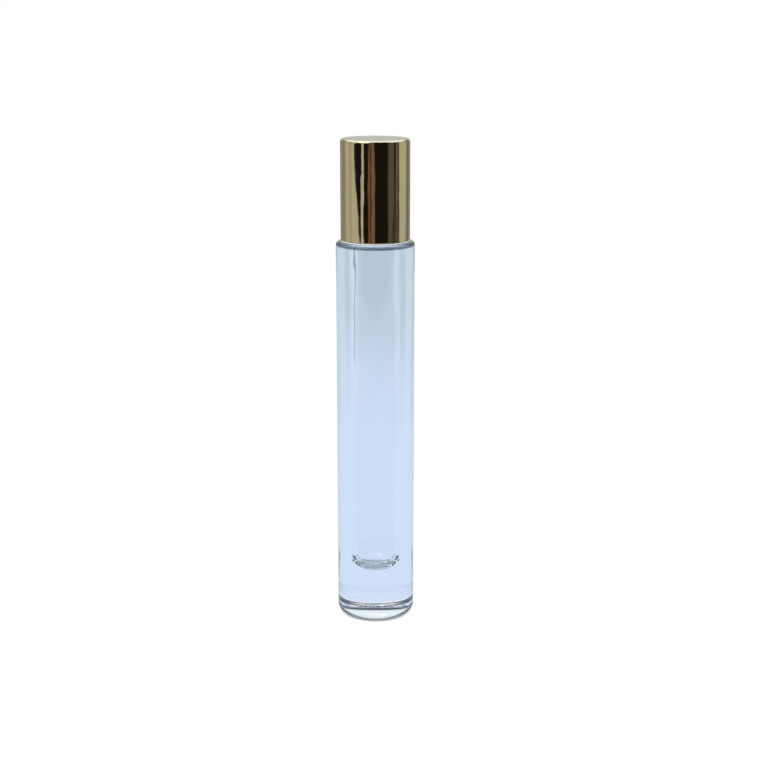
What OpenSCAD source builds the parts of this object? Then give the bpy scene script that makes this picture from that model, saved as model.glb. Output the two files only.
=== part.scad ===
// Roll on bottle: a thick-walled glass tube with a rolling ball in its neck and a gold screw cap.
// The origin is on the resting plane, on the bottle's axis. +Z is up. Millimetres.

/* [Glass body] */
// Outer diameter of the glass body
body_d = 18.5; // [16.5:0.25:22]
// Height of the glass body, from the resting plane to the flat shoulder
body_h = 92.2; // [60:0.2:120]
// Inner diameter of the cavity
cavity_d = 9.3; // [8.4:0.1:10.5]
// Thickness of the solid glass base under the cavity
base_t = 11.6; // [5:0.2:16]
// Radius of the rounded corner at the foot of the body
heel_r = 2; // [1:0.1:2.4]
// Radius of the rounded corner at the shoulder
shoulder_r = 0.8; // [0.3:0.1:1.6]
// Radius of the rounded corner at the cavity's bowl-shaped floor
floor_r = 4; // [2:0.1:4.2]
// Radius at which the hollow under the base begins
hollow_r = 6; // [4:0.1:6.2]
// Depth of the hollow under the base at its middle
hollow_depth = 1; // [0.3:0.1:1.5]

/* [Neck] */
// Height of the neck above the shoulder
neck_h = 12.8; // [11:0.1:15]
// Diameter of the neck between its threads
neck_d = 11.6; // [11:0.1:12.4]
// Thickness of the neck's wall
neck_wall = 1.5; // [1.2:0.05:1.7]
// Distance from the plug's end down to the taper into the cavity
bore_spare = 0.6; // [0.3:0.1:1.5]
// Height of the taper between the neck's bore and the cavity
taper_h = 0.6; // [0.3:0.1:1.5]
// Radius of the rounded corner at the lip
lip_r = 0.4; // [0.2:0.05:0.6]
// Radius of the blend where the neck meets the shoulder
neck_blend_r = 0.6; // [0.2:0.05:0.7]

/* [Thread] */
// Rise of the thread in one turn
pitch = 2.5; // [2.4:0.05:3]
// Number of turns of thread on the neck
thread_turns = 1.5; // [1:0.25:2]
// Height of the thread on the neck
thread_depth = 0.7; // [0.5:0.05:0.8]
// Width of the thread where it leaves the wall
thread_base_w = 1.5; // [1:0.05:1.5]
// Width of the thread at its crest
thread_crest_w = 0.7; // [0.4:0.05:0.8]
// Distance from the lip down to the middle of the thread's upper end
thread_drop = 1.6; // [1.2:0.1:2.5]
// Gap between a thread's crest and the wall that it faces
thread_gap = 0.2; // [0.15:0.01:0.3]
// Gap between the threads' flanks when the cap is screwed down
thread_play = 0.15; // [0.1:0.01:0.25]

/* [Roller housing] */
// Depth that the plug reaches into the neck
plug_l = 8; // [6:0.1:9]
// Thickness of the plug's wall
plug_wall = 0.8; // [0.5:0.05:1]
// Gap between the plug's plain wall and the neck
plug_gap = 0.2; // [0.1:0.01:0.3]
// Gap left between the plug's sealing ribs and the neck
rib_gap = 0.02; // [0.01:0.01:0.05]
// Height of one sealing rib along the plug
plug_rib_h = 0.8; // [0.4:0.05:1.2]
// Distance between the sealing ribs
plug_rib_step = 2.2; // [1.5:0.1:2.4]
// Number of sealing ribs
plug_ribs = 3; // [1:1:3]
// Thickness of the flange on the glass lip
flange_t = 0.9; // [0.5:0.05:1.2]
// Thickness of the cup's wall beside the ball
cup_wall = 0.8; // [0.5:0.05:0.9]
// Height that the cup reaches above the ball's centre to hold it in
hold_h = 2; // [1.4:0.1:2.5]
// Thickness of the seat under the ball
seat_t = 0.9; // [0.6:0.05:1.2]
// Radius of the hole that feeds the ball
feed_r = 2.2; // [1.4:0.1:2.4]
// Width of a feed slot in the seat
slot_w = 0.8; // [0.5:0.05:1]
// Number of feed slots
slots = 3; // [3:1:6]

/* [Ball] */
// Diameter of the ball
ball_d = 9.5; // [9:0.05:9.7]
// Running gap between the ball and its cup
ball_gap = 0.05; // [0.03:0.01:0.1]
// Height of the ball's centre above the glass lip
ball_rise = 3.2; // [3:0.05:3.6]

/* [Cap] */
// Thickness of the seal pad over the ball
pad_t = 1.35; // [1:0.05:2]
// Diameter of the seal pad
pad_d = 10.4; // [9:0.1:10.6]
// Depth that the pad's rim reaches down beside the ball's crown
pad_rim = 1.75; // [1:0.05:2]
// Thickness of the liner's top
liner_top = 1.2; // [0.8:0.05:2]
// Thickness of the liner's threaded wall
liner_wall = 0.65; // [0.5:0.05:0.9]
// Height of the liner's outer ribs and end bands, which carry the shell
liner_rib_t = 0.3; // [0.2:0.05:0.5]
// Number of the liner's outer ribs
liner_ribs = 18; // [8:1:24]
// Width of one outer rib
liner_rib_w = 0.6; // [0.4:0.05:0.8]
// Height of the liner's lower band
liner_band_h = 1.6; // [1:0.1:3]
// Distance that the liner stands back inside the shell's mouth
liner_setback = 0.35; // [0.2:0.05:1]
// Depth of the ring that holds the pad
socket_h = 1.7; // [1:0.1:2]
// Thickness of the ring that holds the pad
socket_wall = 0.65; // [0.4:0.05:0.7]
// Thickness of the metal shell
shell_t = 0.4; // [0.3:0.05:0.6]
// Radius of the shell's rounded upper edge
shell_edge_r = 0.65; // [0.5:0.05:1]
// Gap between the shell and the liner
shell_gap = 0.05; // [0.03:0.01:0.1]
// Gap between the cap and the glass shoulder
cap_gap = 0.3; // [0.2:0.05:0.8]

/* [Hidden] */
$fn = 96;

// Glass radii and heights
body_r = body_d / 2;
cavity_r = cavity_d / 2;
neck_r = neck_d / 2;
bore_r = neck_r - neck_wall;
lip_z = body_h + neck_h;
bore_z = lip_z - plug_l - bore_spare;
taper_z = bore_z - taper_h;
hollow_sphere_r = (hollow_r * hollow_r + hollow_depth * hollow_depth) / (2 * hollow_depth);

// Ball and housing
ball_r = ball_d / 2;
ball_z = lip_z + ball_rise;
seat_sphere_r = ball_r + ball_gap;
cup_r = seat_sphere_r + cup_wall;
cup_top_z = ball_z + hold_h;
cup_edge_r = cup_wall / 2;
plug_r = bore_r - plug_gap;
plug_rib_r = bore_r - rib_gap;
plug_bore_r = plug_r - plug_wall;
plug_z = lip_z - plug_l;
plug_bore_top_z = ball_z - seat_sphere_r - seat_t;
flange_edge_r = flange_t / 4;

// Cap, from the ball outwards
pad_r = pad_d / 2;
pad_z = ball_z + seat_sphere_r - pad_rim;
ceiling_z = ball_z + seat_sphere_r + pad_t;
liner_top_z = ceiling_z + liner_top;
shell_top_z = liner_top_z + shell_gap + shell_t;
shell_z = body_h + cap_gap;
liner_z = shell_z + liner_setback;
liner_bore_r = neck_r + thread_depth + thread_gap;
liner_wall_r = liner_bore_r + liner_wall;
liner_r = liner_wall_r + liner_rib_t;
// The outer ribs are sunk in the band below them and in the liner's top
liner_rib_z = liner_z + liner_band_h / 2;
liner_rib_l = ceiling_z + liner_top / 4 - liner_rib_z;
shell_bore_r = liner_r + shell_gap;
shell_r = shell_bore_r + shell_t;
socket_bore_r = pad_r + shell_gap;
mouth_chamfer = liner_wall / 2;

// Thread places
thread_top_z = lip_z - thread_drop;
thread_low_z = thread_top_z - pitch * thread_turns;
liner_crest_r = neck_r + thread_gap;
// The cap's thread lies under the bottle's thread and bears up against it
flank_slope = (thread_base_w - thread_crest_w) / 2 / thread_depth;
flank_reach = thread_crest_w / 2 + thread_base_w / 2 - thread_gap * flank_slope;
liner_thread_low_z = thread_low_z - flank_reach - thread_play;
// Depth that a thread is sunk in its wall
thread_root = thread_depth / 3;
// Rings of the thread in one turn, and in the fade at each end
turn_rings = 48;
fade_rings = 8;

// One overrun for all cuts
over = 1;

// Waste outside a rounded corner of radius r, whose centre is at the origin
module corner_waste(r) {
    difference() {
        square([r + over, r + over]);
        circle(r);
    }
}

// Fill of an inner corner at the origin, rounded to radius r
module corner_fill(r) {
    difference() {
        translate([-over, -over]) square([r + over, r + over]);
        translate([r, r]) circle(r);
    }
}

// Height of a thread as a share, fading in and out at ring i of n
function fade_share(i, n) = min(1, i / fade_rings, (n - i) / fade_rings);

// Cross-section of a thread that grows from radius root to radius crest
function ridge_section(root, crest, root_w, crest_w) = [
    [root, -root_w / 2],
    [crest, -crest_w / 2],
    [crest, crest_w / 2],
    [root, root_w / 2]
];

// A helical ridge from height z, standing from wall_r to crest_r and sunk in the wall by root
module thread_ridge(wall_r, crest_r, base_w, crest_w, root, z, turns) {
    n = round(turns * turn_rings);
    outward = crest_r > wall_r ? 1 : -1;
    root_r = wall_r - outward * root;
    sunk_r = wall_r - outward * root / 2;
    slope = (base_w - crest_w) / abs(crest_r - wall_r);
    function width_at(r) = base_w - slope * (r - wall_r) * outward;
    rings = [
        for (i = [0:n])
            let (
                a = 360 * turns * i / n,
                top_r = sunk_r + (crest_r - sunk_r) * fade_share(i, n)
            )
            for (p = ridge_section(root_r, top_r, width_at(root_r), width_at(top_r)))
                [p[0] * cos(a), p[0] * sin(a), z + pitch * turns * i / n + p[1]]
    ];
    sides = [
        for (i = [0:n - 1], j = [0:3])
            let (
                k = (j + 1) % 4,
                p = 4 * i + j,
                q = 4 * i + k
            )
            for (face = [[p, q, q + 4], [p, q + 4, p + 4]])
                face
    ];
    ends = [[0, 2, 1], [0, 3, 2], [4 * n, 4 * n + 1, 4 * n + 2], [4 * n, 4 * n + 2, 4 * n + 3]];
    faces = concat(sides, ends);
    turned = [for (f = faces) outward > 0 ? f : [f[2], f[1], f[0]]];
    polyhedron(points = rings, faces = turned);
}

module cavity_profile() {
    difference() {
        translate([0, base_t]) square([cavity_r, taper_z - base_t]);
        translate([cavity_r - floor_r, base_t + floor_r]) mirror([0, 1]) corner_waste(floor_r);
    }
    polygon([
        [0, taper_z - over],
        [cavity_r, taper_z - over],
        [cavity_r, taper_z],
        [bore_r, bore_z],
        [bore_r, lip_z + over],
        [0, lip_z + over]
    ]);
}

module bottle_profile() {
    difference() {
        union() {
            square([body_r, body_h]);
            square([neck_r, lip_z]);
            translate([neck_r, body_h]) corner_fill(neck_blend_r);
        }
        translate([body_r - heel_r, heel_r]) mirror([0, 1]) corner_waste(heel_r);
        translate([body_r - shoulder_r, body_h - shoulder_r]) corner_waste(shoulder_r);
        translate([neck_r - lip_r, lip_z - lip_r]) corner_waste(lip_r);
        translate([0, hollow_depth - hollow_sphere_r]) circle(hollow_sphere_r);
        cavity_profile();
    }
}

// Keeps the half of a profile that is turned round the axis
module right_half() {
    intersection() {
        children();
        translate([0, -over]) square([body_r + over, shell_top_z + 2 * over]);
    }
}

module glass_bottle() {
    color([0.8, 0.87, 0.94, 0.6]) union() {
        rotate_extrude() right_half() bottle_profile();
        thread_ridge(neck_r, neck_r + thread_depth, thread_base_w, thread_crest_w, thread_root,
            thread_low_z, thread_turns);
    }
}

module housing_profile() {
    difference() {
        union() {
            translate([0, plug_z]) square([plug_r, plug_l]);
            for (i = [0:plug_ribs - 1]) {
                translate([0, plug_z + plug_rib_h + plug_rib_step * i]) square([plug_rib_r, plug_rib_h]);
            }
            translate([0, lip_z]) square([neck_r, flange_t]);
            translate([0, lip_z]) square([cup_r, cup_top_z - lip_z]);
        }
        translate([neck_r - flange_edge_r, lip_z + flange_t - flange_edge_r]) flange_edge_waste();
        translate([cup_r - cup_edge_r, cup_top_z - cup_edge_r]) corner_waste(cup_edge_r);
        translate([0, ball_z]) circle(seat_sphere_r);
        translate([0, plug_z - over]) square([plug_bore_r, plug_bore_top_z - plug_z + over]);
        translate([0, plug_z]) square([feed_r, ball_z - plug_z]);
    }
}

// Waste outside the flange's rounded edge, kept clear of the cup's wall
module flange_edge_waste() {
    difference() {
        square([flange_edge_r + over, flange_edge_r]);
        circle(flange_edge_r);
    }
}

// The feed slots are cut in the seat, as far out as the plug's bore reaches below it
module roller_housing() {
    color([0.93, 0.94, 0.94]) difference() {
        rotate_extrude() right_half() housing_profile();
        for (i = [0:slots - 1]) {
            rotate([0, 0, 360 * i / slots])
                translate([0, -slot_w / 2, plug_bore_top_z + seat_t / 2])
                    cube([plug_bore_r, slot_w, ball_rise]);
        }
    }
}

module roller_ball() {
    color([0.75, 0.76, 0.78]) translate([0, 0, ball_z]) sphere(ball_r);
}

module seal_pad() {
    color([0.88, 0.9, 0.9]) rotate_extrude() right_half() difference() {
        translate([0, pad_z]) square([pad_r, ceiling_z - pad_z]);
        translate([0, ball_z]) circle(seat_sphere_r);
    }
}

module liner_profile() {
    difference() {
        union() {
            translate([0, liner_z]) square([liner_wall_r, liner_top_z - liner_z]);
            translate([0, liner_z]) square([liner_r, liner_band_h]);
            translate([0, ceiling_z]) square([liner_r, liner_top]);
        }
        translate([liner_r - liner_top / 2, liner_top_z - liner_top / 2]) corner_waste(liner_top / 2);
        difference() {
            translate([0, liner_z - over]) square([liner_bore_r, ceiling_z - liner_z + over]);
            translate([socket_bore_r, ceiling_z - socket_h]) square([socket_wall, socket_h + over]);
        }
        polygon([
            [liner_bore_r - over, liner_z - over],
            [liner_bore_r + mouth_chamfer + over, liner_z - over],
            [liner_bore_r - over, liner_z + mouth_chamfer + over]
        ]);
    }
}

module cap_liner() {
    color([0.95, 0.95, 0.93]) union() {
        rotate_extrude() right_half() liner_profile();
        for (i = [0:liner_ribs - 1]) {
            rotate([0, 0, 360 * i / liner_ribs])
                translate([liner_bore_r + liner_wall / 2, -liner_rib_w / 2, liner_rib_z])
                    cube([liner_wall / 2 + liner_rib_t, liner_rib_w, liner_rib_l]);
        }
        thread_ridge(liner_bore_r, liner_crest_r, thread_base_w, thread_crest_w, thread_root,
            liner_thread_low_z, thread_turns);
    }
}

module shell_profile() {
    difference() {
        union() {
            translate([0, shell_z + shell_t / 2]) square([shell_r, shell_top_z - shell_z - shell_t / 2]);
            translate([shell_r - shell_t / 2, shell_z + shell_t / 2]) circle(shell_t / 2);
        }
        translate([shell_r - shell_edge_r, shell_top_z - shell_edge_r]) corner_waste(shell_edge_r);
        difference() {
            translate([0, shell_z - over]) square([shell_bore_r, shell_top_z - shell_t - shell_z + over]);
            translate([shell_r - shell_edge_r, shell_top_z - shell_edge_r])
                corner_waste(shell_edge_r - shell_t);
        }
    }
}

module cap_shell() {
    color([0.72, 0.64, 0.45]) rotate_extrude() right_half() shell_profile();
}

glass_bottle();
roller_housing();
roller_ball();
seal_pad();
cap_liner();
cap_shell();
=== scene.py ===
"""The look of a clear glass roll on bottle with a rolling ball and a polished gold screw cap."""
import math

import bmesh
import bpy
from mathutils import Euler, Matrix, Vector


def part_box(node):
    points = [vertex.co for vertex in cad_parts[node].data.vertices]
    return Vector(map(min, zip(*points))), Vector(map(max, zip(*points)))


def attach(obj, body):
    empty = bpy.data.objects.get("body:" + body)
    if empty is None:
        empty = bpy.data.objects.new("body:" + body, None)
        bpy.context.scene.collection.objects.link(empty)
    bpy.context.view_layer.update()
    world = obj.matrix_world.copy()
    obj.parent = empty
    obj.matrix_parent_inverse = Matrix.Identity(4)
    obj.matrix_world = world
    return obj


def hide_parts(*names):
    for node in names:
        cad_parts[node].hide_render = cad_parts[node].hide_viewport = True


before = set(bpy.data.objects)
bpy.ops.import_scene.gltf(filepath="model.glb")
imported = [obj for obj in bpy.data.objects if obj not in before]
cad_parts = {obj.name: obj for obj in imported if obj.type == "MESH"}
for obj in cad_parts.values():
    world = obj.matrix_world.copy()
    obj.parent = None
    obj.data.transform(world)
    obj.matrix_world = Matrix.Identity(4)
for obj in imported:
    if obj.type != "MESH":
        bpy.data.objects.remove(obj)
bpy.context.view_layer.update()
MM = 0.001


# Sizes that the frame gives
glass_low, glass_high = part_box("glass_bottle")
shell_low, shell_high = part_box("cap_shell")
ball_low, ball_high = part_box("roller_ball")
BODY_R = glass_high.x
LIP_Z = glass_high.z
SHELL_R = shell_high.x
SHELL_Z = shell_low.z
SHELL_TOP = shell_high.z
BALL_R = (ball_high.z - ball_low.z) / 2
BALL_Z = (ball_high.z + ball_low.z) / 2

# Sizes of the glass body
CAVITY_R = 4.65 * MM
BASE = 11.6 * MM
HEEL_R = 2 * MM
SHOULDER_R = 0.8 * MM
FLOOR_R = 4 * MM
HOLLOW_R = 6 * MM
HOLLOW_DEPTH = 1 * MM

# Sizes of the neck
NECK_H = 12.8 * MM
NECK_R = 5.8 * MM
BORE_R = 4.3 * MM
BORE_DEPTH = 8.6 * MM
TAPER_H = 0.6 * MM
NECK_BLEND_R = 0.6 * MM
LIP_R = 0.4 * MM
SHOULDER_Z = LIP_Z - NECK_H
BORE_Z = LIP_Z - BORE_DEPTH

# Sizes of the thread, and the share of a turn over which each of its ends fades out
PITCH = 2.5 * MM
TURNS = 1.5
THREAD_DEPTH = 0.7 * MM
THREAD_BASE_W = 1.5 * MM
THREAD_CREST_W = 0.7 * MM
THREAD_DROP = 1.6 * MM
THREAD_LOW_Z = LIP_Z - THREAD_DROP - PITCH * TURNS
THREAD_FADE = 0.16

# Nicks in the ring that the bottle stands on, and faint waves in the blown cavity, drawn out up the bottle
NICKS = 60
NICK_DEPTH = 0.15 * MM
WAVE_DEPTH = 0.3 * MM
WAVE_SIZE = 3.5 * MM
WAVE_RISE_SHARE = 0.3

# Sizes of the metal shell, and of the liner's rim that shows as a pale line under it
SHELL_T = 0.4 * MM
SHELL_EDGE_R = 0.65 * MM
RIM_DROP = 0.22 * MM
RIM_INSET = 0.1 * MM
RIM_W = 0.8 * MM
RIM_UP = 0.4 * MM
RIM_R = 0.08 * MM

# How close to a corner a straight stretch keeps its last point
CLOSE = 0.04 * MM

# How far off a place may lie and still count as there, and how close two points have to be to become one
SLACK = 0.01 * MM
WELD = 0.001 * MM

# Marks that points of a profile may carry, and the sizes that the lathe takes
MARKS = ("threaded", "nicked", "wavy_wall", "wavy_floor")
LATHE_SIZES = ("Thread Low", "Thread Pitch", "Thread Turns", "Thread Height", "Thread Base", "Thread Crest",
               "Nick Count", "Nick Depth", "Wave Depth", "Wave Size")

# Kinds of node that come up often
MATH = "ShaderNodeMath"
RANGE = "ShaderNodeMapRange"
MIX = "ShaderNodeMix"


def colour(code):
    """An sRGB hex code as a linear colour."""
    parts = [int(code[i:i + 2], 16) / 255 for i in (1, 3, 5)]
    return (*[p / 12.92 if p <= 0.04045 else ((p + 0.055) / 1.055) ** 2.4 for p in parts], 1.0)


def add(tree, kind, *values, **words):
    """A node of that kind. Values go to its open inputs in order. A word in small letters is a setting, and
    any other word names an input, with _ for a space. A node given as a value is linked by its first open
    output."""
    node = tree.nodes.new(kind)
    for word, value in words.items():
        if word[0].islower():
            setattr(node, word, value)
    pairs = list(zip([socket for socket in node.inputs if socket.enabled], values))
    named = {word.replace("_", " "): value for word, value in words.items() if word[0].isupper()}
    pairs += [(node.inputs[name], value) for name, value in named.items()]
    for socket, value in pairs:
        if isinstance(value, bpy.types.Node):
            value = next(output for output in value.outputs if output.enabled)
        if isinstance(value, bpy.types.NodeSocket):
            tree.links.new(value, socket)
        else:
            socket.default_value = value
    return node


def within(tree, value, rise, fall):
    """1 between two soft edges, and 0 outside them. An edge is 0 at its first value and 1 at its second."""
    edges = [add(tree, RANGE, value, *edge, interpolation_type="SMOOTHSTEP") for edge in (rise, fall)]
    return add(tree, MATH, *edges, operation="MULTIPLY")


def arc(cx, cz, radius, start, end, steps):
    """Points on an arc in the profile's plane, with angles in degrees from +X towards +Z."""
    angles = [math.radians(start + (end - start) * i / steps) for i in range(steps + 1)]
    return [(cx + radius * math.cos(a), cz + radius * math.sin(a)) for a in angles]


def line(x0, z0, x1, z1, steps):
    """Points on a straight stretch of a profile, without its two ends. The first and last lie close to the
    ends, so that smooth shading doesn't round the stretch."""
    near = min(0.5 / steps, CLOSE / max(CLOSE, math.hypot(x1 - x0, z1 - z0)))
    shares = [near] + [i / steps for i in range(1, steps)] + [1 - near]
    return [(x0 + (x1 - x0) * s, z0 + (z1 - z0) * s) for s in shares]


def lathe_tree():
    """Turns a profile of loose points into a closed skin, with a screw thread, nicks and waves where points
    carry the mark for them."""
    tree = bpy.data.node_groups.new("lathe", "GeometryNodeTree")
    sockets = [("Geometry", "Geometry"), ("Segments", "Int")]
    sockets += [(name, "Float") for name in LATHE_SIZES] + [("Material", "Material")]
    for name, kind in sockets:
        tree.interface.new_socket(name, in_out="INPUT", socket_type="NodeSocket" + kind)
    tree.interface.new_socket("Geometry", in_out="OUTPUT", socket_type="NodeSocketGeometry")
    given = add(tree, "NodeGroupInput").outputs

    # A sheet with one row for each point of the profile
    rows = add(tree, "GeometryNodeAttributeDomainSize", Geometry=given["Geometry"]).outputs["Point Count"]
    columns = add(tree, MATH, given["Segments"], 1.0, operation="ADD")
    sheet = add(tree, "GeometryNodeMeshGrid", 1.0, 1.0, columns, rows)
    place = add(tree, "ShaderNodeSeparateXYZ", add(tree, "GeometryNodeInputPosition")).outputs
    turn = add(tree, MATH, place["X"], 0.5, operation="ADD")
    up = add(tree, MATH, place["Y"], 0.5, operation="ADD")
    last = add(tree, MATH, rows, 1.0, operation="SUBTRACT")
    row = add(tree, MATH, add(tree, MATH, up, last, operation="MULTIPLY"), operation="ROUND")

    # What the profile says at this row
    said = {"place": ("FLOAT_VECTOR", add(tree, "GeometryNodeInputPosition"))}
    for mark in MARKS:
        said[mark] = ("FLOAT", add(tree, "GeometryNodeInputNamedAttribute", mark, data_type="FLOAT"))
    read = {name: add(tree, "GeometryNodeSampleIndex", data_type=kind, domain="POINT",
                      Geometry=given["Geometry"], Value=value, Index=row)
            for name, (kind, value) in said.items()}
    profile = add(tree, "ShaderNodeSeparateXYZ", read["place"]).outputs
    radius, height = profile["X"], profile["Z"]

    # The nearest turn of the thread, and how far along it and from its middle this point lies
    climb = add(tree, MATH, height, given["Thread Low"], operation="SUBTRACT")
    rise = add(tree, MATH, climb, given["Thread Pitch"], operation="DIVIDE")
    whole = add(tree, MATH, add(tree, MATH, rise, turn, operation="SUBTRACT"), operation="ROUND")
    along = add(tree, MATH, turn, whole, operation="ADD")
    off = add(tree, MATH, add(tree, MATH, rise, along, operation="SUBTRACT"), operation="ABSOLUTE")
    off = add(tree, MATH, off, given["Thread Pitch"], operation="MULTIPLY")
    crest, foot = [add(tree, MATH, given[name], 0.5, operation="MULTIPLY")
                   for name in ("Thread Crest", "Thread Base")]
    flank = add(tree, RANGE, off, crest, foot, 1.0, 0.0, interpolation_type="SMOOTHSTEP")
    left = add(tree, MATH, given["Thread Turns"], along, operation="SUBTRACT")
    ends = [add(tree, RANGE, value, 0.0, THREAD_FADE, interpolation_type="SMOOTHSTEP")
            for value in (along, left)]
    ridge = add(tree, MATH, add(tree, MATH, flank, given["Thread Height"], operation="MULTIPLY"),
                add(tree, MATH, *ends, operation="MULTIPLY"), operation="MULTIPLY")

    # Slow waves in the skin, which close on themselves because they are read at the point's own place
    angle = add(tree, MATH, turn, 2 * math.pi, operation="MULTIPLY")
    around = [add(tree, MATH, angle, operation=kind) for kind in ("COSINE", "SINE")]
    spot = add(tree, "ShaderNodeCombineXYZ",
               *[add(tree, MATH, radius, share, operation="MULTIPLY") for share in around],
               add(tree, MATH, height, WAVE_RISE_SHARE, operation="MULTIPLY"))
    fineness = add(tree, MATH, 1.0, given["Wave Size"], operation="DIVIDE")
    wave = add(tree, "ShaderNodeTexNoise", noise_dimensions="3D", Vector=spot, Scale=fineness, Detail=1.0)
    sway = add(tree, MATH, add(tree, MATH, wave, 0.5, operation="SUBTRACT"), given["Wave Depth"],
               operation="MULTIPLY")
    beats = add(tree, MATH, angle, given["Nick Count"], operation="MULTIPLY")
    beat = add(tree, MATH, beats, operation="COSINE")
    dents = add(tree, MATH, add(tree, MATH, 0.0, beat, operation="MAXIMUM"), given["Nick Depth"],
                operation="MULTIPLY")

    # Each point goes out or up by what its marks ask for, and the sheet is wound round the axis
    grown, lifted = radius, height
    for amount, mark in ((ridge, "threaded"), (sway, "wavy_wall")):
        step = add(tree, MATH, amount, read[mark], operation="MULTIPLY")
        grown = add(tree, MATH, grown, step, operation="ADD")
    for amount, mark in ((dents, "nicked"), (sway, "wavy_floor")):
        step = add(tree, MATH, amount, read[mark], operation="MULTIPLY")
        lifted = add(tree, MATH, lifted, step, operation="ADD")
    wound = add(tree, "ShaderNodeCombineXYZ",
                *[add(tree, MATH, grown, share, operation="MULTIPLY") for share in around], lifted)
    moved = add(tree, "GeometryNodeSetPosition", Geometry=sheet, Position=wound)
    merged = add(tree, "GeometryNodeMergeByDistance", Geometry=moved, Distance=WELD)
    solid = add(tree, "GeometryNodeRealizeInstances", Geometry=merged)
    painted = add(tree, "GeometryNodeSetMaterial", Geometry=solid, Material=given["Material"])
    add(tree, "NodeGroupOutput", Geometry=painted)
    return tree


LATHE = lathe_tree()


def evaluated_piece(name, source):
    """A plain mesh object from what the source's modifiers make. The source is removed."""
    graph = bpy.context.evaluated_depsgraph_get()
    mesh = bpy.data.meshes.new_from_object(source.evaluated_get(graph))
    bpy.data.objects.remove(source)
    mesh.name = name
    piece = bpy.data.objects.new(name, mesh)
    bpy.context.scene.collection.objects.link(piece)
    return piece


def smooth_outside(piece, sharp_degrees):
    """Faces turned outwards and shaded smooth, apart from edges sharper than the angle."""
    shape = bmesh.new()
    shape.from_mesh(piece.data)
    bmesh.ops.recalc_face_normals(shape, faces=shape.faces)
    for face in shape.faces:
        face.smooth = True
    for edge in shape.edges:
        edge.smooth = edge.is_manifold and edge.calc_face_angle(0.0) < math.radians(sharp_degrees)
    shape.to_mesh(piece.data)
    shape.free()


def turned(name, points, material, segments=240, marks=None, sharp_degrees=40, **sizes):
    """A piece turned on the lathe from (radius, height) points. marks gives how strongly each point carries a
    mark."""
    mesh = bpy.data.meshes.new(name + "_profile")
    mesh.from_pydata([(x, 0.0, z) for x, z in points], [], [])
    for mark in MARKS:
        strength = (marks or {}).get(mark, lambda x, z: 0.0)
        layer = mesh.attributes.new(mark, "FLOAT", "POINT")
        for i, (x, z) in enumerate(points):
            layer.data[i].value = float(strength(x, z))
    source = bpy.data.objects.new(name + "_profile", mesh)
    bpy.context.scene.collection.objects.link(source)
    modifier = source.modifiers.new("lathe", "NODES")
    modifier.node_group = LATHE
    values = {"Segments": segments, "Thread Pitch": PITCH, "Wave Size": WAVE_SIZE, "Material": material}
    values.update({key.replace("_", " "): value for key, value in sizes.items()})
    for item in LATHE.interface.items_tree:
        if item.in_out == "INPUT" and item.name in values:
            modifier[item.identifier] = values[item.name]
    piece = evaluated_piece(name, source)
    smooth_outside(piece, sharp_degrees)
    return piece


def new_material(name):
    """An empty node material and its tree."""
    material = bpy.data.materials.new(name)
    material.use_nodes = True
    material.node_tree.nodes.clear()
    return material, material.node_tree


# The glass: its own tint, how strongly it bends light, and the faint swells of its skin
GLASS_COLOUR = "#FAFCFE"
GLASS_IOR = 1.52
SWELL_SIZE = 4 * MM
SWELL_HEIGHT = 0.03 * MM
SWELL_RISE_SHARE = 0.2

# A dark shade painted into the glass where its shoulder turns over, and the heights where it starts and ends
PAINTED_CORNER_SHADE = "#3A444B"
CORNER_RISE = (SHOULDER_Z - 1.5 * SHOULDER_R, SHOULDER_Z - SHOULDER_R)
CORNER_FALL = (SHOULDER_Z - 0.1 * SHOULDER_R, SHOULDER_Z - 0.3 * SHOULDER_R)

# Light inside the glass: the bounces after which it is spent, and the painted glow that stands in for it,
# from low down to high up
SPENT_BOUNCES = 3.5
SPENT_LOW = "#4C5E72"
SPENT_HIGH = "#D4D6D8"
SPENT_RISE = (0.5 * SHOULDER_Z, SHOULDER_Z)

# What light keeps when it falls through the glass onto something behind it
PASSED_COLOUR = "#EEF1F3"


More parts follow.
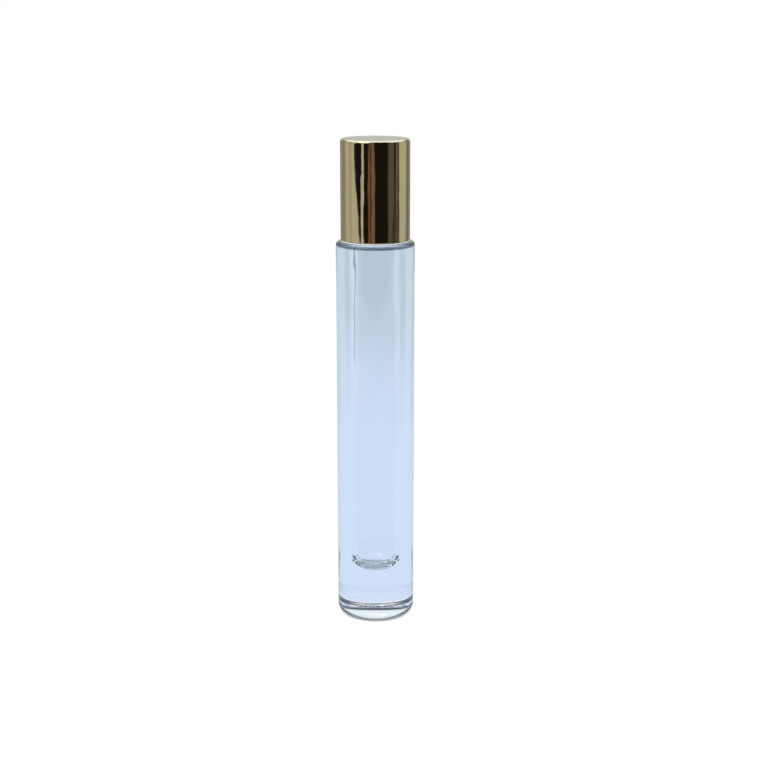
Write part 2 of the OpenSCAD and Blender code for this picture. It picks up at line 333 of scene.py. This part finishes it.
def flint_glass():
    # Clear moulded flint glass, fire-polished: dead smooth but faintly uneven, with a trace of blue
    material, tree = new_material("moulded_flint_glass")
    place = add(tree, "ShaderNodeTexCoord").outputs["Object"]
    drawn = add(tree, "ShaderNodeMapping", Vector=place, Scale=(1.0, 1.0, SWELL_RISE_SHARE))
    swell = add(tree, "ShaderNodeTexNoise", Vector=drawn, Scale=1 / SWELL_SIZE, Detail=1.0)
    bump = add(tree, "ShaderNodeBump", Height=swell, Strength=0.3, Distance=SWELL_HEIGHT)
    # Where the rounded corner of the shoulder bends light the most, a dark line is painted into the glass's
    # tint all round
    height = add(tree, "ShaderNodeSeparateXYZ", place).outputs["Z"]
    corner = within(tree, height, CORNER_RISE, CORNER_FALL)
    tint = add(tree, MIX, corner, colour(GLASS_COLOUR), colour(PAINTED_CORNER_SHADE), data_type="RGBA")
    skin = add(tree, "ShaderNodeBsdfPrincipled", Base_Color=tint, Roughness=0.0, IOR=GLASS_IOR,
               Transmission_Weight=1.0, Normal=bump)
    # Light that has bounced about inside for long is spent. In its place the glass glows with a painted
    # light:
    # a deep grey blue in the base, and a paler one near the shoulder, where more light gets in
    share = add(tree, RANGE, height, *SPENT_RISE)
    hue = add(tree, MIX, share, colour(SPENT_LOW), colour(SPENT_HIGH), data_type="RGBA")
    spent = add(tree, "ShaderNodeEmission", Color=hue, Strength=1.0)
    rays = add(tree, "ShaderNodeLightPath").outputs
    late = add(tree, MATH, rays["Glossy Depth"], SPENT_BOUNCES, operation="GREATER_THAN")
    lit = add(tree, "ShaderNodeMixShader", late, skin, spent)
    # Light falls through the glass onto the fitment in the neck, and leaves only a thin shade on the paper
    clear = add(tree, "ShaderNodeBsdfTransparent", Color=colour(PASSED_COLOUR))
    passing = add(tree, MATH, rays["Is Shadow Ray"], rays["Is Diffuse Ray"], operation="MAXIMUM")
    surface = add(tree, "ShaderNodeMixShader", passing, lit, clear)
    add(tree, "ShaderNodeOutputMaterial", Surface=surface)
    material.cycles.emission_sampling = "NONE"
    return material


# The gold: its colour, and the waves that drawing leaves up the wall of the shell
GOLD_COLOUR = "#D3C296"
DRAWN_SIZE = 4 * MM
DRAWN_HEIGHT = 0.1 * MM
DRAWN_RISE_SHARE = 0.15


def gold_aluminium():
    # Drawn aluminium shell, polished and anodised pale gold: sharp reflections, faintly wavy up the wall
    material, tree = new_material("polished_gold_anodised_aluminium")
    place = add(tree, "ShaderNodeTexCoord").outputs["Object"]
    drawn = add(tree, "ShaderNodeMapping", Vector=place, Scale=(1.0, 1.0, DRAWN_RISE_SHARE))
    waves = add(tree, "ShaderNodeTexNoise", Vector=drawn, Scale=1 / DRAWN_SIZE, Detail=4.0)
    bump = add(tree, "ShaderNodeBump", Height=waves, Strength=1.0, Distance=DRAWN_HEIGHT)
    skin = add(tree, "ShaderNodeBsdfPrincipled", Base_Color=colour(GOLD_COLOUR), Metallic=1.0, Roughness=0.05,
               Normal=bump)
    add(tree, "ShaderNodeOutputMaterial", Surface=skin)
    return material


# The grain that the moulding tool leaves on the plastics
GRAIN_SIZE = 0.3 * MM
GRAIN_HEIGHT = 0.02 * MM


def moulded_plastic(name, code, roughness):
    # Moulded polyolefin: waxy, pale, with a fine grain from the tool
    material, tree = new_material(name)
    place = add(tree, "ShaderNodeTexCoord").outputs["Object"]
    grain = add(tree, "ShaderNodeTexNoise", Vector=place, Scale=1 / GRAIN_SIZE, Detail=2.0)
    bump = add(tree, "ShaderNodeBump", Height=grain, Strength=0.1, Distance=GRAIN_HEIGHT)
    skin = add(tree, "ShaderNodeBsdfPrincipled", Base_Color=colour(code), Roughness=roughness, Normal=bump)
    add(tree, "ShaderNodeOutputMaterial", Surface=skin)
    return material


# The ball: its colour, the size and spread of the lapping's patches, and the roughness from least to most
STEEL_COLOUR = "#C9CACC"
LAPPING_SIZE = 0.8 * MM
LAPPING_SPREAD = (0.35, 0.75)
LAPPING_ROUGHNESS = (0.05, 0.16)


def polished_steel():
    # Ground and polished stainless steel ball: mirror-bright, with a faint haze from the lapping in places
    material, tree = new_material("polished_stainless_steel")
    place = add(tree, "ShaderNodeTexCoord").outputs["Object"]
    lapping = add(tree, "ShaderNodeTexNoise", Vector=place, Scale=1 / LAPPING_SIZE, Detail=5.0)
    haze = add(tree, RANGE, lapping, *LAPPING_SPREAD, *LAPPING_ROUGHNESS)
    skin = add(tree, "ShaderNodeBsdfPrincipled", Base_Color=colour(STEEL_COLOUR), Metallic=1.0,
               Roughness=haze)
    add(tree, "ShaderNodeOutputMaterial", Surface=skin)
    return material


def hollow_arc(steps):
    """The shallow hollow under the base, from the axis out."""
    sphere = (HOLLOW_R ** 2 + HOLLOW_DEPTH ** 2) / (2 * HOLLOW_DEPTH)
    reach = math.degrees(math.asin(HOLLOW_R / sphere))
    points = arc(0, HOLLOW_DEPTH - sphere, sphere, 90, 90 - reach, steps)
    points[0] = (0.0, HOLLOW_DEPTH)
    return points


def bottle_points():
    """The glass as one closed profile: under the base, up the outside, over the lip, down the inside."""
    ring_out = BODY_R - HEEL_R
    points = hollow_arc(12)
    points += line(HOLLOW_R, 0, ring_out, 0, 4)
    points += arc(ring_out, HEEL_R, HEEL_R, -90, 0, 14)
    points += line(BODY_R, HEEL_R, BODY_R, SHOULDER_Z - SHOULDER_R, 30)
    points += arc(BODY_R - SHOULDER_R, SHOULDER_Z - SHOULDER_R, SHOULDER_R, 0, 90, 12)
    points += line(BODY_R - SHOULDER_R, SHOULDER_Z, NECK_R + NECK_BLEND_R, SHOULDER_Z, 3)
    points += arc(NECK_R + NECK_BLEND_R, SHOULDER_Z + NECK_BLEND_R, NECK_BLEND_R, -90, -180, 6)
    points += line(NECK_R, SHOULDER_Z + NECK_BLEND_R, NECK_R, LIP_Z - LIP_R, 96)
    points += arc(NECK_R - LIP_R, LIP_Z - LIP_R, LIP_R, 0, 90, 6)
    points += arc(BORE_R + LIP_R / 2, LIP_Z - LIP_R / 2, LIP_R / 2, 90, 180, 4)
    points += line(BORE_R, LIP_Z - LIP_R / 2, BORE_R, BORE_Z, 8)
    points += [(BORE_R, BORE_Z), (CAVITY_R, BORE_Z - TAPER_H)]
    points += line(CAVITY_R, BORE_Z - TAPER_H, CAVITY_R, BASE + FLOOR_R, 40)
    points += arc(CAVITY_R - FLOOR_R, BASE + FLOOR_R, FLOOR_R, 0, -90, 20)
    points += line(CAVITY_R - FLOOR_R, BASE, 0, BASE, 4)
    return points + [(0.0, BASE)]


def wall_waves(x, z):
    """How strongly the cavity's wall waves: in full along the middle, and not at all at its two ends."""
    return abs(x - CAVITY_R) < SLACK and max(
        0, min(1, (z - BASE - FLOOR_R) / FLOOR_R, (BORE_Z - TAPER_H - z) / FLOOR_R))


def floor_waves(x, z):
    """How strongly the cavity's floor waves: the most in the middle of the bowl, and less up its side."""
    return x < CAVITY_R and z > BASE - SLACK and max(0, 1 - (z - BASE) / FLOOR_R)


def bottle_glass(material):
    marks = {
        "threaded": lambda x, z: abs(x - NECK_R) < SLACK and z > SHOULDER_Z + NECK_BLEND_R,
        "nicked": lambda x, z: z < SLACK and HOLLOW_R - SLACK < x < BODY_R - HEEL_R + SLACK,
        "wavy_wall": wall_waves,
        "wavy_floor": floor_waves,
    }
    piece = turned("bottle_glass", bottle_points(), material, marks=marks, Thread_Low=THREAD_LOW_Z,
                   Thread_Turns=TURNS, Thread_Height=THREAD_DEPTH, Thread_Base=THREAD_BASE_W,
                   Thread_Crest=THREAD_CREST_W, Nick_Count=NICKS, Nick_Depth=NICK_DEPTH,
                   Wave_Depth=WAVE_DEPTH)
    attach(piece, "bottle")
    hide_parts("glass_bottle")


def shell_points():
    """The shell's outside from the middle of its top, round its lip and back up the inside."""
    inner = SHELL_R - SHELL_T
    points = line(0, SHELL_TOP, SHELL_R - SHELL_EDGE_R, SHELL_TOP, 6)
    points += arc(SHELL_R - SHELL_EDGE_R, SHELL_TOP - SHELL_EDGE_R, SHELL_EDGE_R, 90, 0, 10)
    points += line(SHELL_R, SHELL_TOP - SHELL_EDGE_R, SHELL_R, SHELL_Z + SHELL_T / 2, 12)
    points += arc(SHELL_R - SHELL_T / 2, SHELL_Z + SHELL_T / 2, SHELL_T / 2, 0, -180, 10)
    inner_edge = SHELL_EDGE_R - SHELL_T
    points += line(inner, SHELL_Z + SHELL_T / 2, inner, SHELL_TOP - SHELL_EDGE_R, 4)
    points += arc(inner - inner_edge, SHELL_TOP - SHELL_EDGE_R, inner_edge, 0, 90, 5)
    return [(0.0, SHELL_TOP)] + points + [(0.0, SHELL_TOP - SHELL_T)]


def gold_shell(material):
    piece = turned("gold_shell", shell_points(), material, segments=256, sharp_degrees=60)
    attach(piece, "cap")
    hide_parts("cap_shell")


def liner_rim(material):
    """The liner's foot: a thin ring that reaches out under the shell's edge, with a collar up inside it."""
    outer, low = SHELL_R - RIM_INSET, SHELL_Z - RIM_DROP
    inner, high = outer - RIM_W, low + RIM_UP + RIM_DROP
    collar = SHELL_R - SHELL_T
    points = [(inner, high)] + line(inner, high, inner, low, 3)
    points += [(inner, low)] + line(inner, low, outer - RIM_R, low, 3)
    points += arc(outer - RIM_R, low + RIM_R, RIM_R, -90, 0, 4)
    points += [(outer, SHELL_Z), (collar, SHELL_Z), (collar, high), (inner, high)]
    piece = turned("liner_rim", points, material, segments=192)
    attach(piece, "cap")


def steel_ball(material):
    points = arc(0, BALL_Z, BALL_R, 90, -90, 64)
    points[0], points[-1] = (0.0, BALL_Z + BALL_R), (0.0, BALL_Z - BALL_R)
    piece = turned("steel_ball", points, material, segments=128)
    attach(piece, "ball")
    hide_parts("roller_ball")


def dress(node, material):
    """A CAD node keeps its shape and takes a material."""
    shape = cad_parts[node]
    shape.data.materials.clear()
    shape.data.materials.append(material)


bottle_glass(flint_glass())
gold_shell(gold_aluminium())
steel_ball(polished_steel())
dress("roller_housing", moulded_plastic("moulded_natural_polyethylene", "#EDEFEF", roughness=0.35))
white_polypropylene = moulded_plastic("moulded_white_polypropylene", "#F2F2EF", roughness=0.4)
dress("cap_liner", white_polypropylene)
liner_rim(white_polypropylene)
dress("seal_pad", moulded_plastic("soft_polyethylene_foam", "#E9EBEA", roughness=0.7))


# What surrounds the bottle, seen only where a surface mirrors it: pale walls all round, and a black card in
# front. Narrow cards hang before both. Each has the azimuths where it starts and ends and how soft its edges
# are, all in degrees from the camera and growing to the right, and its colour.
WALL_COLOUR = "#CACCCC"
WALL_CARDS = [(-152, -116, 10, "#989A96"), (-94, -84, 4, "#B4B6B6"), (48, 86, 3, "#46423A"),
              (73, 77, 2, "#807C72"), (122, 150, 10, "#807E7A")]
BLACK_CARD = "#1A1A1B"
FRONT_CARDS = [(-47, -39, 1, "#C8CCDC"), (-23, -16, 2, "#7A5C50"), (-13, -2, 2, "#8A6858"),
               (44, 64, 5, "#605E5C"), (72, 84, 2, "#5C584E")]

# Where the black card starts, by a direction's share towards the camera and by the distance on the floor
FRONT_SHARES = (0.3, 0.5)
FRONT_CARD_Y = (0.34, 0.40)

# A black card lies on the floor far behind the bottle too
BACK_CARD_AWAY = (0.45, 0.55)
BACK_CARD_DEGREES = (155, 160)

# The lamp overhead: its colour and brightness, the height of its edge, and how much the front card hides
HIGH_COLOUR = "#D2DEFF"
HIGH_LIGHT = 2.1
HIGH_EDGE = (0.4, 0.6)
FRONT_HIDES = 0.3

# The paper seen through the glass: close to the bottle, far behind it, and far off at its sides
NEAR_COLOUR = "#D1E1F8"
FAR_COLOUR = "#BACAD6"
FAR_SIDE_COLOUR = "#CEDEEA"
FAR_AWAY = (0.14, 0.45)
BEHIND_DEGREES = (120, 160)

# A narrow grey card far off on the left, and shades painted on the paper close by on both sides
SIDE_COLOUR = "#93A5B2"
SIDE_CARD_RISE = (-111, -109)
SIDE_CARD_FALL = (-104, -106)
SIDE_CARD_AWAY = (0.24, 0.29)
PAINTED_FLANK_SHADE = "#647584"
FLANK_RISE = (98, 106)
FLANK_FALL = (130, 122)
FLANK_AWAY_RISE = (0.009, 0.012)
FLANK_AWAY_FALL = (0.042, 0.034)

# The room seen through the glass, by the sine of its height: a dark band under a bright ceiling
SKY = [(0.0, "#F4F9FF"), (0.14, "#F4F9FF"), (0.2, "#3A4854"), (0.38, "#485662"), (0.5, "#DCE8EE"),
       (0.8, "#F4FAFD")]

# The open paper and the shade painted on it under the bottle, and where that painted shade ends for the
# camera and in a mirror
OPEN_COLOUR = "#FFFFFF"
PAINTED_CONTACT_SHADE = "#46545E"
CONTACT_EDGE = (BODY_R - HEEL_R, BODY_R - 0.2 * MM)
MIRRORED_EDGE = (BODY_R - 1 * MM, BODY_R + 4 * MM)

# The paper that a mirror shows near the bottle, and where the cards take over from it
NEAR_SHINE = "#BEC4CA"
NEAR_SHINE_AWAY = (0.14, 0.22)

# The light left in the shade painted close round the foot as it shows through the glass, and where that shade
# ends
FOOT_LIGHT = 0.55
FOOT_EDGE = (HOLLOW_R, BODY_R + 3 * MM)

# The paper's own dull white, how brightly it glows, the share of that for the camera, and half its width
MATT_COLOUR = "#E8E9EA"
GLOW = 1.03
GLOW_SHARE = 0.85
FLOOR_REACH = 3.0

# The lamp at the left, and the camera in front, a little above the cap and turned a touch to the right
KEY_PLACE = (-0.35, -0.35, 0.55)
KEY_AIM = (0, 0, 0.06)
KEY_SIZE = 0.35
KEY_WATTS = 1.2
VIEW_PLACE = (0.0, -0.3471, 0.1438)
VIEW_DOWN_DEGREES = 13.95
VIEW_RIGHT_DEGREES = 0.337
VIEW_CLIP = (0.01, 20.0)
SENSOR_W = 36.0
FRAME_PIXELS = 768
FOCAL_PIXELS = 1490


def hung_cards(tree, degrees, ground, cards):
    """The colour at an azimuth of a wall of one colour with cards hung before it."""
    seen = colour(ground)
    for start, end, soft, code in cards:
        share = within(tree, degrees, (start - soft, start + soft), (end + soft, end - soft))
        seen = add(tree, MIX, share, seen, colour(code), data_type="RGBA")
    return seen


def walls_and_cards(tree, degrees, front):
    """What hangs round the bottle at an azimuth, with the share of the black card there."""
    return add(tree, MIX, front, hung_cards(tree, degrees, WALL_COLOUR, WALL_CARDS),
               hung_cards(tree, degrees, BLACK_CARD, FRONT_CARDS), data_type="RGBA")


def sky(tree, height):
    """The room above the floor, as it shows through the glass."""
    node = add(tree, "ShaderNodeValToRGB", height)
    elements = node.color_ramp.elements
    while len(elements) < len(SKY):
        elements.new(0.5)
    for element, (place, code) in zip(elements, SKY):
        element.position = place
        element.color = colour(code)
    return node


def azimuth_degrees(tree, x, y):
    """The azimuth of a place or a direction, in degrees from the camera's side."""
    towards = add(tree, MATH, y, -1.0, operation="MULTIPLY")
    return add(tree, MATH, add(tree, MATH, x, towards, operation="ARCTAN2"), operation="DEGREES")


def by_ray(tree, seen, through, mirrored):
    """The colour for what the camera sees, what shows through the glass, and what shines in a surface."""
    rays = add(tree, "ShaderNodeLightPath").outputs
    outside = add(tree, MIX, rays["Is Glossy Ray"], seen, mirrored, data_type="RGBA")
    return add(tree, MIX, rays["Is Transmission Ray"], outside, through, data_type="RGBA")


def studio_world():
    """A plain bright studio, white behind the bottle, with a large lamp overhead that shows in mirrors."""
    world = bpy.data.worlds.new("studio")
    bpy.context.scene.world = world
    world.use_nodes = True
    tree = world.node_tree
    tree.nodes.clear()
    way = add(tree, "ShaderNodeSeparateXYZ", add(tree, "ShaderNodeTexCoord").outputs["Generated"]).outputs
    degrees = azimuth_degrees(tree, way["X"], way["Y"])
    towards = add(tree, MATH, way["Y"], -1.0, operation="MULTIPLY")
    front = add(tree, RANGE, towards, *FRONT_SHARES, interpolation_type="SMOOTHSTEP")
    walls = walls_and_cards(tree, degrees, front)
    lamp = add(tree, "ShaderNodeVectorMath", colour(HIGH_COLOUR)[:3], HIGH_LIGHT, operation="SCALE")
    # The lamp hangs over the bottle and reaches lower behind it than in front, where the black card stands
    hidden = add(tree, MATH, front, FRONT_HIDES, operation="MULTIPLY")
    reach = add(tree, MATH, way["Z"], hidden, operation="SUBTRACT")
    high = add(tree, RANGE, reach, *HIGH_EDGE, interpolation_type="SMOOTHSTEP")
    shine = add(tree, MIX, high, walls, lamp, data_type="RGBA")
    hue = by_ray(tree, colour(OPEN_COLOUR), sky(tree, way["Z"]), shine)
    light = add(tree, "ShaderNodeBackground", Color=hue, Strength=1.0)
    add(tree, "ShaderNodeOutputWorld", Surface=light)


def paper_through_glass(tree, degrees, behind, away):
    """The floor as it shows through the glass. behind is the azimuth without its sign."""
    # Pale blue near the bottle, and greyer far behind it
    back = add(tree, RANGE, behind, *BEHIND_DEGREES, interpolation_type="SMOOTHSTEP")
    far = add(tree, MIX, back, colour(FAR_SIDE_COLOUR), colour(FAR_COLOUR), data_type="RGBA")
    fade = add(tree, RANGE, away, *FAR_AWAY, interpolation_type="SMOOTHSTEP")
    paper = add(tree, MIX, fade, colour(NEAR_COLOUR), far, data_type="RGBA")
    # The cavity's wavy wall draws the narrow card out into a thin dark line
    beyond = add(tree, RANGE, away, *SIDE_CARD_AWAY, interpolation_type="SMOOTHSTEP")
    across = within(tree, degrees, SIDE_CARD_RISE, SIDE_CARD_FALL)
    card = add(tree, MATH, across, beyond, operation="MULTIPLY")
    paper = add(tree, MIX, card, paper, colour(SIDE_COLOUR), data_type="RGBA")
    # The solid base bends the shades painted at both sides into its edges
    flank = add(tree, MATH, within(tree, behind, FLANK_RISE, FLANK_FALL),
                within(tree, away, FLANK_AWAY_RISE, FLANK_AWAY_FALL), operation="MULTIPLY")
    paper = add(tree, MIX, flank, paper, colour(PAINTED_FLANK_SHADE), data_type="RGBA")
    # A shade is painted close round the foot
    shade = add(tree, RANGE, away, *FOOT_EDGE, FOOT_LIGHT, 1.0, interpolation_type="SMOOTHSTEP")
    return add(tree, "ShaderNodeVectorMath", paper, shade, operation="SCALE")


def paper_in_mirror(tree, degrees, behind, away, y):
    """The floor as glass and metal mirror it: pale grey near the bottle, and the cards beyond."""
    towards = add(tree, MATH, y, -1.0, operation="MULTIPLY")
    front = add(tree, RANGE, towards, *FRONT_CARD_Y, interpolation_type="SMOOTHSTEP")
    edges = [add(tree, RANGE, value, *edge, interpolation_type="SMOOTHSTEP")
             for value, edge in ((away, BACK_CARD_AWAY), (behind, BACK_CARD_DEGREES))]
    back = add(tree, MATH, *edges, operation="MULTIPLY")
    cards = walls_and_cards(tree, degrees, add(tree, MATH, front, back, operation="MAXIMUM"))
    # Close round the foot the mirror shows a shade painted on the paper
    outside = add(tree, RANGE, away, *MIRRORED_EDGE, interpolation_type="SMOOTHSTEP")
    near = add(tree, MIX, outside, colour(PAINTED_CONTACT_SHADE), colour(NEAR_SHINE), data_type="RGBA")
    beyond = add(tree, RANGE, away, *NEAR_SHINE_AWAY, interpolation_type="SMOOTHSTEP")
    return add(tree, MIX, beyond, near, cards, data_type="RGBA")


def white_paper():
    # Matt white paper: white to the camera, where it glows, and darkened by the bottle's soft shadow, partly
    # cast and partly painted
    material, tree = new_material("white_paper")
    spot = add(tree, "ShaderNodeTexCoord").outputs["Object"]
    place = add(tree, "ShaderNodeSeparateXYZ", spot).outputs
    away = add(tree, "ShaderNodeVectorMath", spot, operation="LENGTH")
    degrees = azimuth_degrees(tree, place["X"], place["Y"])
    behind = add(tree, MATH, degrees, operation="ABSOLUTE")
    # Under the rounded heel the bottle's own shade is painted on the paper
    outside = add(tree, RANGE, away, *CONTACT_EDGE, interpolation_type="SMOOTHSTEP")
    seen = add(tree, MIX, outside, colour(PAINTED_CONTACT_SHADE), colour(OPEN_COLOUR), data_type="RGBA")
    hue = by_ray(tree, seen, paper_through_glass(tree, degrees, behind, away),
                 paper_in_mirror(tree, degrees, behind, away, place["Y"]))
    rays = add(tree, "ShaderNodeLightPath").outputs
    lit = add(tree, MATH, add(tree, MATH, rays["Is Camera Ray"], GLOW_SHARE, operation="MULTIPLY"),
              rays["Is Glossy Ray"], operation="MAXIMUM")
    matt = add(tree, "ShaderNodeBsdfDiffuse", Color=colour(MATT_COLOUR))
    glow = add(tree, "ShaderNodeEmission", Color=hue, Strength=GLOW)
    add(tree, "ShaderNodeOutputMaterial", Surface=add(tree, "ShaderNodeMixShader", lit, matt, glow))
    return material


def floor(material):
    """A plain pale floor."""
    mesh = bpy.data.meshes.new("floor")
    corners = [(x * FLOOR_REACH, y * FLOOR_REACH, 0) for x, y in ((-1, -1), (1, -1), (1, 1), (-1, 1))]
    mesh.from_pydata(corners, [], [(0, 1, 2, 3)])
    mesh.materials.append(material)
    piece = bpy.data.objects.new("floor", mesh)
    bpy.context.scene.collection.objects.link(piece)


def key_lamp():
    """A square lamp high at the left, in front of the bottle."""
    light = bpy.data.lights.new("key_lamp", "AREA")
    light.size = KEY_SIZE
    light.energy = KEY_WATTS
    lamp = bpy.data.objects.new("key_lamp", light)
    lamp.location = KEY_PLACE
    lamp.rotation_euler = (Vector(KEY_AIM) - Vector(KEY_PLACE)).to_track_quat("-Z", "Y").to_euler()
    bpy.context.scene.collection.objects.link(lamp)


def camera():
    """The view from in front and a little above the cap, with the bottle just left of the middle."""
    lens = bpy.data.cameras.new("camera")
    lens.sensor_width = SENSOR_W
    lens.lens = FOCAL_PIXELS * SENSOR_W / FRAME_PIXELS
    lens.clip_start, lens.clip_end = VIEW_CLIP
    view = bpy.data.objects.new("camera", lens)
    view.location = VIEW_PLACE
    tilt, turn = math.radians(90 - VIEW_DOWN_DEGREES), math.radians(-VIEW_RIGHT_DEGREES)
    view.rotation_euler = Euler((tilt, 0.0, turn), "XYZ")
    bpy.context.scene.collection.objects.link(view)
    bpy.context.scene.camera = view


studio_world()
floor(white_paper())
key_lamp()
camera()
bpy.context.scene.view_settings.view_transform = "Standard"
